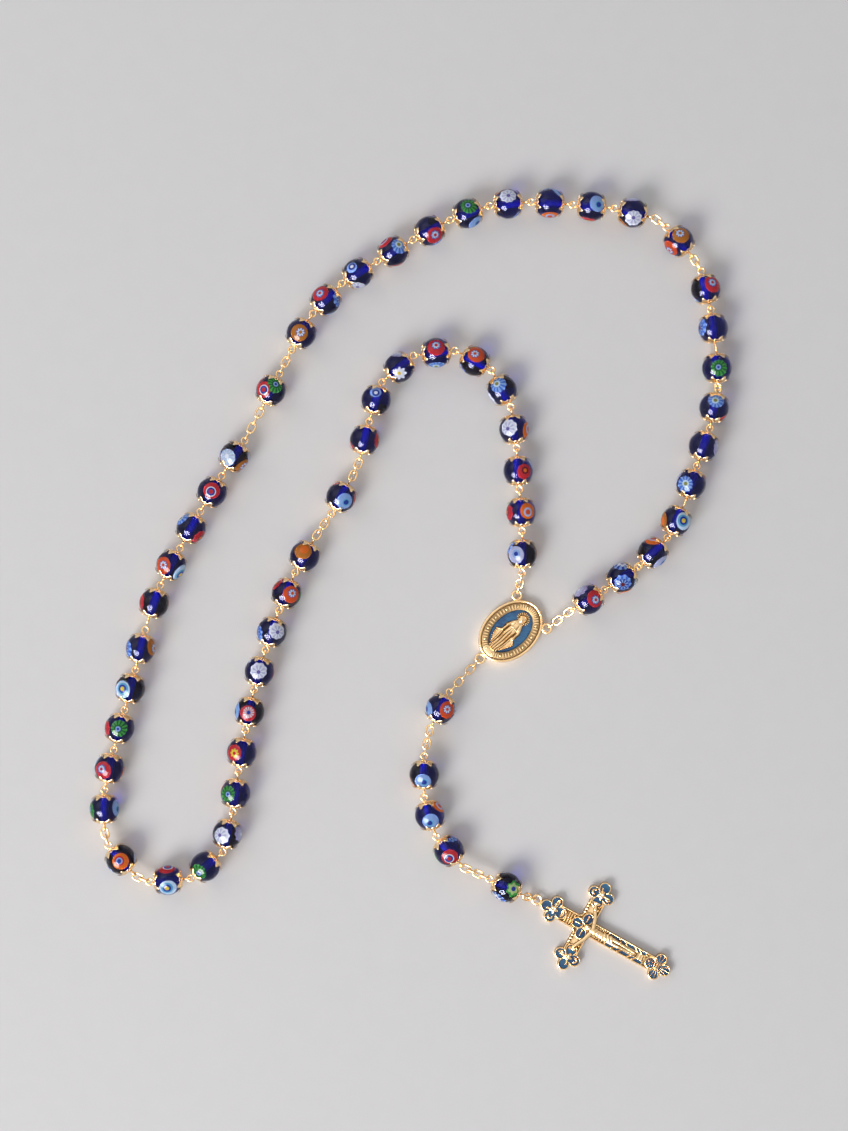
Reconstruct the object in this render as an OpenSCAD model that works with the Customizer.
// Five-decade rosary of millefiori glass beads on gilt wire, laid flat as a closed loop with its
// pendant. Every bead is strung on its own eye pin between two filigree caps, pins hook loop in
// loop, and runs of oval links space the decades, the paters, the centre medal and the crucifix.
// The origin is the middle of the centre medal's back. Z is up from the surface it lies on.

/* [Glass bead] */
// Diameter of a bead
bead_d = 8; // [6:0.5:12]
// How much each pole is flattened where the bore comes out
pole_flat = 0.3; // [0.1:0.05:0.6]
// Diameter of the bore
bore_d = 1; // [0.8:0.1:1.6]

/* [Bead cap] */
// Diameter of a cap over its petals
cap_d = 5.6; // [4.8:0.1:6]
// Thickness of the stamped sheet
cap_t = 0.2; // [0.15:0.05:0.4]
// Clearance between the cap and the glass
cap_gap = 0.05; // [0.03:0.01:0.1]
// Clearance of the hole in a cap round the pin
cap_hole_gap = 0.15; // [0.1:0.05:0.2]
// Number of petals on a cap
petals = 6; // [5:1:8]
// Diameter of the hole pierced in each petal
petal_hole_d = 0.6; // [0.4:0.05:0.7]
// Diameter of the notch between two petals
notch_d = 0.9; // [0.5:0.05:1.1]

/* [Eye pin] */
// Diameter of the wire of loops and links
wire_d = 0.5; // [0.4:0.05:0.6]
// Diameter of the straight shank inside the bore
shank_d = 0.44; // [0.34:0.02:0.48]
// Inside diameter of a pin's loop
loop_d = 1.2; // [1.1:0.05:1.5]
// Clearance between a loop and its cap
loop_gap = 0.05; // [0.03:0.01:0.2]

/* [Chain link] */
// Length over a link
link_l = 3.4; // [3:0.1:4.5]
// Width over a link
link_w = 2.35; // [2.2:0.05:3]

/* [Centre medal] */
// Length of the oval along the figure
medal_l = 19.5; // [16:0.5:26]
// Width of the oval
medal_w = 14.4; // [12:0.2:20]
// Thickness of the plate
medal_t = 1.2; // [1:0.1:2]
// Width of the outer rim
medal_rim_w = 0.8; // [0.5:0.1:1.2]
// Height of the outer rim above the plate
medal_rim_h = 0.7; // [0.5:0.1:1.2]
// Width of the band between the outer rim and the enamel field
medal_band_w = 1.9; // [1.4:0.1:2.4]
// Width of the raised line round the enamel field
medal_line_w = 0.3; // [0.2:0.05:0.5]
// Height of the raised line above the plate
medal_line_h = 0.25; // [0.15:0.05:0.5]
// Height of the figure above the enamel
figure_h = 0.8; // [0.5:0.1:1.2]

/* [Lugs] */
// Inside diameter of a lug
lug_d = 1.7; // [1.5:0.1:2.2]
// Diameter of a lug's wire
lug_wire_d = 0.7; // [0.6:0.05:0.8]
// How far a lug is sunk in the casting's edge
lug_sink = 0.2; // [0.15:0.05:0.3]

/* [Crucifix] */
// Thickness of the casting
cross_t = 1.8; // [1.5:0.1:2.4]
// Width of the shaft and the arms
bar_w = 4.2; // [3.6:0.1:5]
// From the crossing to the middle of the top bud
top_l = 9.5; // [8.5:0.5:13]
// From the crossing to the middle of a side bud
arm_l = 9.5; // [8.5:0.5:13]
// From the crossing to the middle of the foot bud
foot_l = 22.6; // [20:0.2:30]
// Radius of one lobe of a bud
lobe_r = 1.65; // [1.5:0.05:2]
// From the middle of a bud to the middle of a lobe
lobe_at = 2.15; // [1.9:0.05:2.5]
// Width of the rim left round each enamel fill
cross_rim_w = 0.4; // [0.3:0.05:0.6]
// Width of the enamel strips beside the figure
strip_w = 0.8; // [0.5:0.1:1]
// Length of the enamel strips
strip_l = 11; // [8:0.5:11.5]
// From the crossing to the start of the enamel strips
strip_at = 7.2; // [6:0.2:7.6]
// Height of the figure above the casting
corpus_h = 1.1; // [0.8:0.1:1.5]
// From the crossing to the middle of the figure's head
corpus_at = 1.2; // [0.8:0.1:1.6]

/* [Enamel] */
// Depth of the pockets that hold enamel
enamel_depth = 0.35; // [0.2:0.05:0.6]
// How far the enamel stays below the pocket's brim
enamel_low = 0.05; // [0:0.01:0.1]
// Clearance of the enamel from the pocket's wall
enamel_gap = 0.02; // [0.01:0.01:0.04]

/* [Lay] */
// Heading of the figure on the centre medal, in degrees
medal_heading = 42; // [0:1:360]
// Angle of the two upper lugs from the figure's heading, in degrees
lug_angle = 38; // [34:1:44]
// Heading of the crucifix from its lug to its foot, in degrees
crucifix_heading = 331; // [0:1:360]
// Slack left in a hooked pair where a chain link or a lug is one of them
hook_slack = 0.25; // [0.15:0.05:0.35]
// Clearance of the lowest upright link from the surface
floor_gap = 0.12; // [0.05:0.01:0.3]
// Clearance between the two loops where the third decade is left unhooked
open_gap = 0.3; // [0.2:0.05:1]

/* [Hidden] */
$fn = 48;
bead_r = bead_d / 2;
bead_len = bead_d - 2 * pole_flat;
cap_r = bead_r + cap_gap;
cap_top = bead_len / 2 + cap_gap + cap_t;
cap_hole_d = shank_d + 2 * cap_hole_gap;
petal_hole_at = (cap_d / 2 + cap_hole_d / 2) / 2;
loop_r = (loop_d + wire_d) / 2;
loop_out = loop_d / 2 + wire_d;
loop_at = cap_top + loop_gap + loop_out;
link_r = (link_w - wire_d) / 2;
link_half = (link_l - wire_d) / 2;
link_step = 2 * link_half - wire_d;
lug_r = (lug_d + lug_wire_d) / 2;
lug_out = lug_d / 2 + lug_wire_d;
lug_z = link_w / 2 + floor_gap;
field_l = medal_l - 2 * (medal_rim_w + medal_band_w);
field_w = medal_w - 2 * (medal_rim_w + medal_band_w);
bud_out = lobe_at + lobe_r;

// The strand as it lies: runs of links and of beads, each with the slack left in its loops and the
// compass heading of each piece, walking away from the centre medal on both sides of the loop.
function links(count, slack, heading) = [[count, heading, slack]];
function beads(slack, headings) = [for (h = headings) [0, h, slack]];

left_lay = concat(
    links(3, 0.6, 78),
    beads(0.2, [90, 94, 94, 98, 118, 152, 187, 220, 252, 256]),
    links(3, 0.6, 246),
    beads(0.25, [240]),
    links(4, 0.6, 236),
    beads(0.2, [240, 247, 251, 254, 258, 260, 262, 256, 219, 185]),
    links(2, 0.6, 158),
    beads(0.25, [132]),
    links(2, 0.6, 106),
    beads(0.3, [90, 77, 75, 75, 76])
);
right_lay = concat(
    links(4, 0.4, 38),
    beads(0.6, [32, 34, 44, 63, 72, 71, 78, 93, 97, 104]),
    links(2, 0.6, 120),
    beads(0.25, [131]),
    links(2, 0.6, 142),
    beads(0.15, [166, 175, 176, 185, 200, 208, 211, 212, 226, 240]),
    links(3, 0.4, 243),
    beads(0.15, [243]),
    links(4, 0.1, 242),
    beads(0.15, [237, 239, 241, 242, 251])
);
pendant_lay = concat(
    links(5, 0.1, 227),
    beads(0.25, [242]),
    links(4, 0.6, 258),
    beads(0.25, [270, 287, 312]),
    links(4, 0.6, 336),
    beads(0.25, [334]),
    links(2, 0.6, 340)
);

// Hooked loops stand across each other, so upright and flat ends take turns along the strand.
// Only a run with an odd number of links ends as it starts.
function starts_up(lay, i) = len([for (k = [0:1:i - 1]) if (lay[k][0] % 2 == 1) k]) % 2 == 0;
function ends_up(lay, i) = !starts_up(lay, i + 1);

// Radius of a piece's end loop, and the reach from its middle to that loop's centre and far wire.
function end_r(count) = count == 0 ? loop_r : link_r;
function seat(count) = count == 0 ? loop_at : link_half - link_r;
function reach(count) = seat(count) + end_r(count);

// From the centre of the flat loop at a hooked pair to the wire of the upright one.
function lug_hook() = lug_r - (lug_wire_d + wire_d) / 2 - hook_slack;
function pair_hook(lay, i) = end_r(lay[starts_up(lay, i) ? i - 1 : i][0]) - wire_d
    - (lay[i][0] == 0 ? lay[i][2] : hook_slack);
function hook(lay, i) = i == 0 || i == len(lay) ? lug_hook() : pair_hook(lay, i);

// From a hooked pair to the middle of the first or last bead or link of a piece.
function start_off(lay, i) = starts_up(lay, i) ? hook(lay, i) + reach(lay[i][0]) : seat(lay[i][0]);
function end_off(lay, i, open) =
    open && i == len(lay) - 1 ? loop_at + loop_out + open_gap / 2
    : ends_up(lay, i) ? hook(lay, i + 1) + reach(lay[i][0]) : seat(lay[i][0]);
function piece_l(lay, i, open) = start_off(lay, i) + end_off(lay, i, open)
    + max(lay[i][0] - 1, 0) * (link_step - lay[i][2]);

// A hooked pair turns about the end wire of its flat loop. From the pair to that wire, along the
// piece, at its start and its end.
function start_pivot(lay, i) = !starts_up(lay, i) ? -end_r(lay[i][0])
    : i == 0 ? lug_r : end_r(lay[i - 1][0]);
function end_pivot(lay, i) = !ends_up(lay, i) ? -end_r(lay[i][0])
    : i == len(lay) - 1 ? lug_r : end_r(lay[i + 1][0]);

// Hooked pairs one after another. Beads carry them at bead height, lugs lie lower, and a chain that
// climbs leans between its two pivots.
function next_z(lay, i, open) = !open && i == len(lay) - 1 ? lug_z : bead_r;
function next_pair(lay, i, at, open) =
    let (drop = next_z(lay, i, open) - at.z)
    let (ends = start_pivot(lay, i) + end_pivot(lay, i))
    let (run = ends + sqrt(pow(piece_l(lay, i, open) - ends, 2) - drop * drop))
    at + [run * cos(lay[i][1]), run * sin(lay[i][1]), drop];
function walk(lay, at, open, i = 0) =
    i == len(lay) ? [at] : concat([at], walk(lay, next_pair(lay, i, at, open), open, i + 1));

// A lug stands on the oval's edge at an angle from the figure's heading.
function oval_r(angle) = medal_l * medal_w / 2 / norm([medal_w * cos(angle), medal_l * sin(angle)]);
function lug_at(angle) = oval_r(angle) + lug_out - lug_sink;
function lug_place(angle) = [
    lug_at(angle) * cos(medal_heading + angle), lug_at(angle) * sin(medal_heading + angle), lug_z
];

// Both sides of the loop share what keeps their ends from meeting, a little at each hooked pair.
function shifted(pairs, by) = [for (i = [0:len(pairs) - 1]) pairs[i] + by * i / (len(pairs) - 1)];
left_walk = walk(left_lay, lug_place(lug_angle), true);
right_walk = walk(right_lay, lug_place(-lug_angle), true);
meeting = (left_walk[len(left_lay)] + right_walk[len(right_lay)]) / 2;
left = [left_lay, shifted(left_walk, meeting - left_walk[len(left_lay)]), true];
right = [right_lay, shifted(right_walk, meeting - right_walk[len(right_lay)]), true];
pendant = [pendant_lay, walk(pendant_lay, lug_place(180), false), false];
crucifix_at = pendant[1][len(pendant_lay)];

// Each bead group: name, side of the strand, first and last place on it.
bead_groups = [
    ["decade_1_aves_1_to_5", left, 1, 5],
    ["decade_1_aves_6_to_10", left, 6, 10],
    ["pater_after_decade_1", left, 12, 12],
    ["decade_2_aves_1_to_5", left, 14, 18],
    ["decade_2_aves_6_to_10", left, 19, 23],
    ["pater_after_decade_2", left, 25, 25],
    ["decade_3_aves_1_to_5", left, 27, 31],
    ["decade_3_aves_6_to_10", right, 27, 31],
    ["pater_after_decade_3", right, 25, 25],
    ["decade_4_aves_1_to_5", right, 19, 23],
    ["decade_4_aves_6_to_10", right, 14, 18],
    ["pater_after_decade_4", right, 12, 12],
    ["decade_5_aves_1_to_5", right, 6, 10],
    ["decade_5_aves_6_to_10", right, 1, 5],
    ["pendant_upper_pater", pendant, 1, 1],
    ["pendant_ave_1", pendant, 3, 3],
    ["pendant_ave_2", pendant, 4, 4],
    ["pendant_ave_3", pendant, 5, 5],
    ["pendant_lower_pater", pendant, 7, 7],
];

// Each chain: name, side of the strand, place on it.
chains = [
    ["chain_medal_to_decade_1", left, 0],
    ["chain_decade_1_to_pater", left, 11],
    ["chain_pater_to_decade_2", left, 13],
    ["chain_decade_2_to_pater", left, 24],
    ["chain_pater_to_decade_3", left, 26],
    ["chain_decade_3_to_pater", right, 26],
    ["chain_pater_to_decade_4", right, 24],
    ["chain_decade_4_to_pater", right, 13],
    ["chain_pater_to_decade_5", right, 11],
    ["chain_decade_5_to_medal", right, 0],
    ["chain_medal_to_pendant", pendant, 0],
    ["chain_upper_pater_to_aves", pendant, 2],
    ["chain_aves_to_lower_pater", pendant, 6],
    ["chain_lower_pater_to_crucifix", pendant, 8],
];

function glass_name(group) = str(group[0], "_glass");
function fittings_name(group) = str(group[0], "_caps_and_pins");

// Stands its children on the line from one hooked pair to the next, a distance along it.
module along(from, to, distance) {
    u = (to - from) / norm(to - from);
    translate(from + distance * u)
        rotate([0, -asin(u.z), atan2(u.y, u.x)])
            children();
}

// Middle of the bead at a place of one side. The flat end sits on its hooked pair, and the upright
// end takes up the slack.
module at_bead(side, i) {
    from = side[1][i];
    to = side[1][i + 1];
    first = starts_up(side[0], i) ? norm(to - from) - end_off(side[0], i, side[2]) : loop_at;
    along(from, to, first) children();
}

module rod(d, l) {
    rotate([0, 90, 0]) cylinder(d = d, h = l, center = true);
}

module ring(r, d, up) {
    rotate([up ? 90 : 0, 0, 0]) rotate([0, 0, 90]) rotate_extrude() translate([r, 0]) circle(d = d);
}

// Turned from half a disc with its poles ground flat.
module bead() {
    rotate([0, 90, 0]) rotate_extrude() intersection() {
        circle(d = bead_d);
        translate([bore_d / 2, -bead_len / 2]) square([bead_d, bead_len]);
    }
}

// Profile of the cup from its hole to its brim, before it is pierced.
module cap_profile() {
    difference() {
        intersection() {
            circle(r = cap_r + cap_t);
            translate([cap_hole_d / 2, 0]) square([(cap_d - cap_hole_d) / 2, cap_top]);
        }
        intersection() {
            circle(r = cap_r);
            square([bead_d, cap_top - cap_t]);
        }
    }
}

// Cups over a pole of the bead on the +X side. Notches leave petals, and each petal is pierced.
module bead_cap() {
    difference() {
        rotate([0, 90, 0]) rotate([0, 0, 90 / petals]) rotate_extrude() cap_profile();
        for (p = [0:petals - 1]) rotate([360 * p / petals, 0, 0]) {
            translate([0, cap_d / 2, 0]) rod(notch_d, 2 * bead_d);
            rotate([180 / petals, 0, 0]) translate([0, petal_hole_at, 0]) rod(petal_hole_d, 2 * bead_d);
        }
    }
}

module eye_pin(start_up) {
    rod(shank_d, 2 * (loop_at - loop_r));
    translate([-loop_at, 0, 0]) ring(loop_r, wire_d, start_up);
    translate([loop_at, 0, 0]) ring(loop_r, wire_d, !start_up);
}

module glass(group) {
    color("midnightblue")
        for (i = [group[2]:group[3]]) at_bead(group[1], i) bead();
}

module caps_and_pins(group) {
    color("goldenrod")
        for (i = [group[2]:group[3]]) at_bead(group[1], i) {
            bead_cap();
            mirror([1, 0, 0]) bead_cap();
            eye_pin(starts_up(group[1][0], i));
        }
}

module link(up) {
    rotate([up ? 90 : 0, 0, 0])
        for (turn = [0, 180]) rotate([0, 0, turn]) {
            translate([link_half - link_r, 0, 0])
                rotate([0, 0, -90])
                    rotate_extrude(angle = 180) translate([link_r, 0]) circle(d = wire_d);
            translate([0, link_r, 0]) rod(wire_d, 2 * (link_half - link_r));
        }
}

// A run of links, turned flat and upright by turns, spread evenly between its two hooked pairs.
module chain(run) {
    lay = run[1][0];
    i = run[2];
    pairs = run[1][1];
    level = [pairs[i + 1].x - pairs[i].x, pairs[i + 1].y - pairs[i].y, 0];
    from = pairs[i] + start_pivot(lay, i) * level / norm(level);
    to = pairs[i + 1] - end_pivot(lay, i) * level / norm(level);
    first = start_off(lay, i) - start_pivot(lay, i);
    last = end_off(lay, i, run[1][2]) - end_pivot(lay, i);
    step = (norm(to - from) - first - last) / (lay[i][0] - 1);
    color("goldenrod")
        for (k = [0:lay[i][0] - 1])
            along(from, to, first + k * step) link(starts_up(lay, i) == (k % 2 == 0));
}

module oval(l, w) {
    polygon([for (a = [0:5:355]) [l / 2 * cos(a), w / 2 * sin(a)]]);
}

module oval_band(l, w, band, h) {
    linear_extrude(h) difference() {
        oval(l, w);
        oval(l - 2 * band, w - 2 * band);
    }
}

module centre_medal() {
    color("goldenrod") {
        rotate([0, 0, medal_heading]) {
            difference() {
                linear_extrude(medal_t) oval(medal_l, medal_w);
                translate([0, 0, medal_t - enamel_depth])
                    linear_extrude(medal_t) oval(field_l, field_w);
            }
            oval_band(medal_l, medal_w, medal_rim_w, medal_t + medal_rim_h);
            oval_band(field_l + 2 * medal_line_w, field_w + 2 * medal_line_w, medal_line_w,
                medal_t + medal_line_h);
        }
        for (a = [lug_angle, -lug_angle, 180]) translate(lug_place(a)) ring(lug_r, lug_wire_d, false);
    }
}

module centre_medal_enamel() {
    color("steelblue")
        rotate([0, 0, medal_heading]) translate([0, 0, medal_t - enamel_depth])
            linear_extrude(enamel_depth - enamel_low)
                oval(field_l - 2 * enamel_gap, field_w - 2 * enamel_gap);
}

// Robed figure with open arms on a globe, in relief on the enamel. All shares of the field's size.
module centre_medal_figure() {
    l = field_l / 2;
    w = field_w / 2;
    head_r = 0.2 * w;
    head_at = 0.5 * l + 0.9 * head_r;
    color("goldenrod")
        rotate([0, 0, medal_heading]) translate([0, 0, medal_t - enamel_low]) {
            linear_extrude(figure_h) polygon([
                [-0.7 * l, -0.3 * w], [-0.1 * l, -0.42 * w], [0.36 * l, -0.3 * w], [0.5 * l, -0.1 * w],
                [0.5 * l, 0.1 * w], [0.36 * l, 0.3 * w], [-0.1 * l, 0.42 * w], [-0.7 * l, 0.3 * w]
            ]);
            for (s = [-1, 1]) linear_extrude(0.75 * figure_h) polygon([
                [0.34 * l, s * 0.2 * w], [0.24 * l, s * 0.42 * w], [-0.12 * l, s * 0.68 * w],
                [-0.2 * l, s * 0.56 * w], [0, s * 0.36 * w]
            ]);
            translate([head_at, 0, 0]) cylinder(r = head_r, h = 1.1 * figure_h);
            translate([head_at, 0, 0]) linear_extrude(0.4 * figure_h) difference() {
                circle(r = 0.36 * w);
                circle(r = 0.28 * w);
            }
            translate([-0.74 * l, 0, 0]) cylinder(r = 0.34 * w, h = 0.5 * figure_h);
        }
}

// Places its children on the four bud middles, turned with their arm.
module each_bud() {
    for (b = [[180, top_l], [90, arm_l], [-90, arm_l], [0, foot_l]])
        rotate([0, 0, b[0]]) translate([b[1], 0, 0]) children();
}

module each_lobe() {
    for (a = [0:90:270]) rotate([0, 0, a]) translate([lobe_at, 0, 0]) children();
}

// Stands its children on the crossing, with the foot towards +X.
module at_crossing() {
    translate([crucifix_at.x, crucifix_at.y, 0])
        rotate([0, 0, crucifix_heading])
            translate([lug_out - lug_sink + bud_out + top_l, 0, 0])
                children();
}

module cross_outline() {
    translate([(foot_l - top_l) / 2, 0]) square([foot_l + top_l, bar_w], center = true);
    square([bar_w, 2 * arm_l], center = true);
    circle(r = bud_out - cross_rim_w);
    each_bud() {
        circle(r = lobe_at);
        each_lobe() circle(r = lobe_r);
    }
}

// Enamel fills: every lobe of the buds, three petals round the head, and a strip down each side.
module cross_fills(gap) {
    each_bud() each_lobe() circle(r = lobe_r - cross_rim_w - gap);
    for (a = [90, 180, 270]) rotate([0, 0, a])
        translate([lobe_at - cross_rim_w, 0]) circle(r = lobe_r - cross_rim_w - gap);
    for (s = [-1, 1])
        translate([strip_at + strip_l / 2, s * (bar_w / 2 - cross_rim_w - strip_w / 2)])
            square([strip_l - 2 * gap, strip_w - 2 * gap], center = true);
}

module crucifix_cross() {
    color("goldenrod") {
        at_crossing() difference() {
            linear_extrude(cross_t) cross_outline();
            translate([0, 0, cross_t - enamel_depth]) linear_extrude(cross_t) cross_fills(0);
        }
        translate(crucifix_at) ring(lug_r, lug_wire_d, false);
    }
}

module crucifix_enamel() {
    color("steelblue")
        at_crossing() translate([0, 0, cross_t - enamel_depth])
            linear_extrude(enamel_depth - enamel_low) cross_fills(enamel_gap);
}

// A limb in half relief from one point to another, tapering.
module limb(from, to, d1, d2) {
    way = to - from;
    translate([from.x, from.y, 0])
        rotate([0, 90, atan2(way.y, way.x)])
            cylinder(d1 = d1, d2 = d2, h = norm(way));
}

// Figure with arms along the cross arms, cut off flat where it lies on the casting.
module crucifix_corpus() {
    d = 2 * corpus_h;
    hip = bud_out + 2.8 * corpus_h;
    foot = bud_out + strip_l + cross_rim_w;
    shoulder = corpus_at + 0.9 * corpus_h;
    color("goldenrod")
        at_crossing() translate([0, 0, cross_t]) intersection() {
            union() {
                limb([corpus_at + 0.5 * corpus_h, 0], [hip, 0], 0.9 * d, 0.8 * d);
                limb([hip - corpus_h, 0], [hip + corpus_h / 2, 0], 0.96 * d, 0.86 * d);
                limb([hip, 0], [foot, 0], 0.8 * d, 0.45 * d);
                for (s = [-1, 1]) limb([shoulder, s * 0.5 * corpus_h],
                    [0, s * (arm_l - bud_out + cross_rim_w)], 0.42 * d, 0.3 * d);
                translate([corpus_at, 0, 0.2 * corpus_h]) sphere(r = 0.8 * corpus_h);
            }
            translate([0, 0, foot_l]) cube(2 * foot_l, center = true);
        }
}

centre_medal();
centre_medal_enamel();
centre_medal_figure();
crucifix_cross();
crucifix_enamel();
crucifix_corpus();
for (g = bead_groups) {
    glass(g);
    caps_and_pins(g);
}
for (c = chains) {
    chain(c);
}
